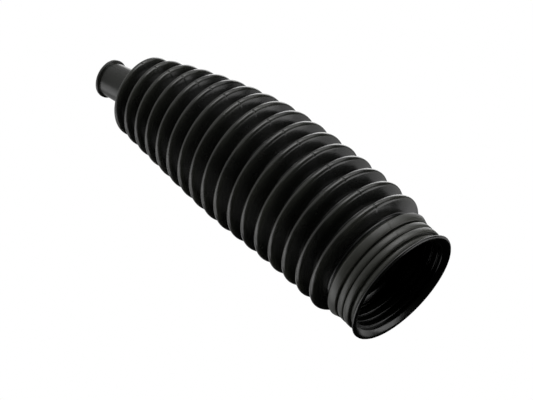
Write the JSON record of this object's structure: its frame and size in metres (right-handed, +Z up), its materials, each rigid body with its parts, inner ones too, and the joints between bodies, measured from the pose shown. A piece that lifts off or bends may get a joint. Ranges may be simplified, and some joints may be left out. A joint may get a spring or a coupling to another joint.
{
  "type": "steering rack boot",
  "caption": "Tapered rubber bellows boot, slightly bowed, with a wide clamped mouth and a narrow neck.",
  "frame": {"origin": "centre of the mouth, in the plane of its rim", "axes": "+Z up the mouth's bore into the bellows, whose relaxed bow leans the neck towards -X; the XZ plane is the plane of symmetry"},
  "size_m": [0.0676, 0.0634, 0.1929],
  "materials": {
    "rubber": "satin"
  },
  "bodies": {
    "root": {"boot": "rubber"}
  },
  "joints": []
}
